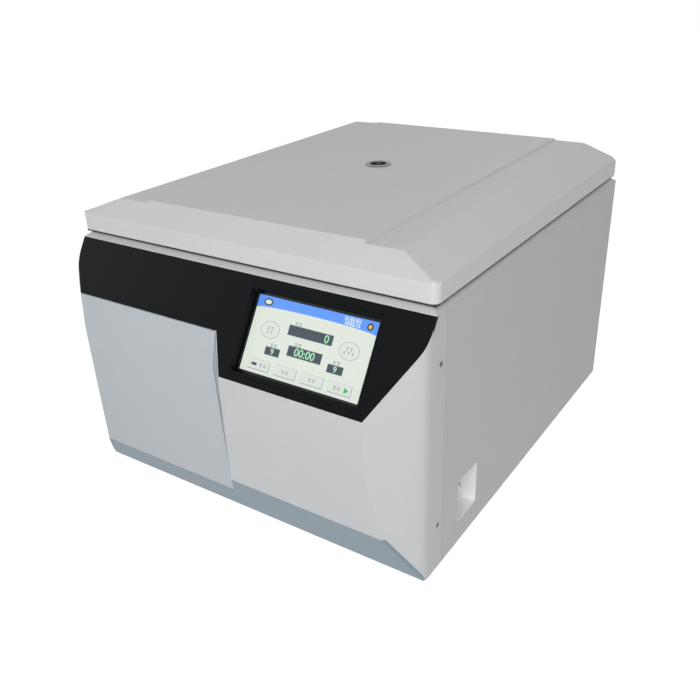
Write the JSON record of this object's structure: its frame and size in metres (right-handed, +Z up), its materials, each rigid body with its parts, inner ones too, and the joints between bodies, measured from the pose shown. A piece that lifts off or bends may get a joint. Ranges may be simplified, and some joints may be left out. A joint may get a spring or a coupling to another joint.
{
  "type": "benchtop centrifuge",
  "caption": "Benchtop centrifuge with a hinged lid, tilted touch console, steel chamber, angle rotor, brushless motor and side power switch.",
  "frame": {"origin": "centre of the footprint on the bench, at the feet's undersides", "axes": "+Z up, +Y towards the rear, +X to the right seen from the front"},
  "size_m": [0.5, 0.63, 0.3797],
  "materials": {
    "lid_white": "fine powder-coat texture",
    "fascia_white": "satin moulded",
    "cover_grey": "satin moulded",
    "panel_grey": "powder coat",
    "plinth_blue": "satin moulded",
    "plate_black": "fine-grained matte",
    "screen_glass": "clear",
    "screen_panel": "lit screen",
    "board_green": "solder mask",
    "steel": "brushed",
    "armour_steel": "primer",
    "cast_aluminium": "as cast",
    "rotor_aluminium": "anodised",
    "rotor_lid_black": "anodised",
    "rubber_black": "matt",
    "seal_grey": "matt",
    "chrome": "polished",
    "switch_black": "satin",
    "zinc_steel": "zinc plated",
    "copper_winding": "enamelled wire",
    "pin_brass": "nickel plated",
    "port_glass": "smoked"
  },
  "bodies": {
    "cabinet": {"front_fascia": "fascia_white", "console_plate": "plate_black", "front_left_cover": "cover_grey", "plinth_skirt": "plinth_blue", "display_tray": "plate_black", "display_glass": "screen_glass", "display_panel": "screen_panel", "display_board": "board_green", "left_side_panel": "panel_grey", "right_side_panel": "panel_grey", "rear_panel": "panel_grey", "rear_screws": "zinc_steel", "base_plate": "zinc_steel", "rubber_feet": "rubber_black", "foot_screws": "zinc_steel", "foot_nuts": "zinc_steel", "top_deck": "fascia_white", "chamber_bowl": "steel", "guard_ring": "armour_steel", "guard_posts": "zinc_steel", "motor_dampers": "rubber_black", "motor_plate": "zinc_steel", "motor_housing": "cast_aluminium", "motor_cap": "cast_aluminium", "motor_bearings": "steel", "motor_stator": "copper_winding", "spindle_boot": "rubber_black", "lock_frame": "zinc_steel", "lock_motor": "switch_black", "body_hinges": "zinc_steel", "hinge_pins": "chrome", "switch_pocket": "cover_grey", "switch_body": "switch_black", "rocker_pin": "zinc_steel", "mains_inlet": "switch_black", "inlet_pins": "pin_brass", "fan_frame": "switch_black", "rear_grille": "zinc_steel", "control_board": "board_green", "power_board": "board_green", "board_standoffs": "zinc_steel", "heat_sink": "cast_aluminium", "mains_filter": "zinc_steel", "fascia_screws": "zinc_steel"},
    "lid": {"lid_cover": "lid_white", "lid_plate": "steel", "lid_seal": "seal_grey", "port_sleeve": "chrome", "port_window": "port_glass", "lid_hooks": "zinc_steel", "lid_hinges": "zinc_steel"},
    "rotor": {"motor_shaft": "steel", "rotor_body": "rotor_aluminium", "rotor_lid": "rotor_lid_black", "rotor_knob": "rotor_lid_black"},
    "fan": {"fan_impeller": "switch_black"},
    "rocker": {"power_rocker": "switch_black"},
    "lock": {"lock_slider": "zinc_steel"},
    "drawer": {"fuse_drawer": "switch_black"}
  },
  "joints": [
    {"name": "lid_hinge", "type": "hinge", "parent": "cabinet", "child": "lid", "pos_m": [0, 0.3095, 0.3345], "axis": [-1, 0, 0], "range_deg": [0, 75]},
    {"name": "rotor_spin", "type": "hinge", "parent": "cabinet", "child": "rotor", "pos_m": [0, 0.0495, 0.2], "axis": [0, 0, 1], "continuous": true},
    {"name": "fan_spin", "type": "hinge", "parent": "cabinet", "child": "fan", "pos_m": [-0.13, 0.2865, 0.102], "axis": [0, 1, 0], "continuous": true},
    {"name": "power_rocker", "type": "hinge", "parent": "cabinet", "child": "rocker", "pos_m": [0.233, -0.16725, 0.0805], "axis": [0, -1, 0], "range_deg": [0, 16]},
    {"name": "lock_slide", "type": "slide", "parent": "cabinet", "child": "lock", "axis": [1, 0, 0], "range_m": [0, 0.014]},
    {"name": "fuse_drawer_slide", "type": "slide", "parent": "cabinet", "child": "drawer", "axis": [0, 1, 0], "range_m": [0, 0.018]}
  ]
}
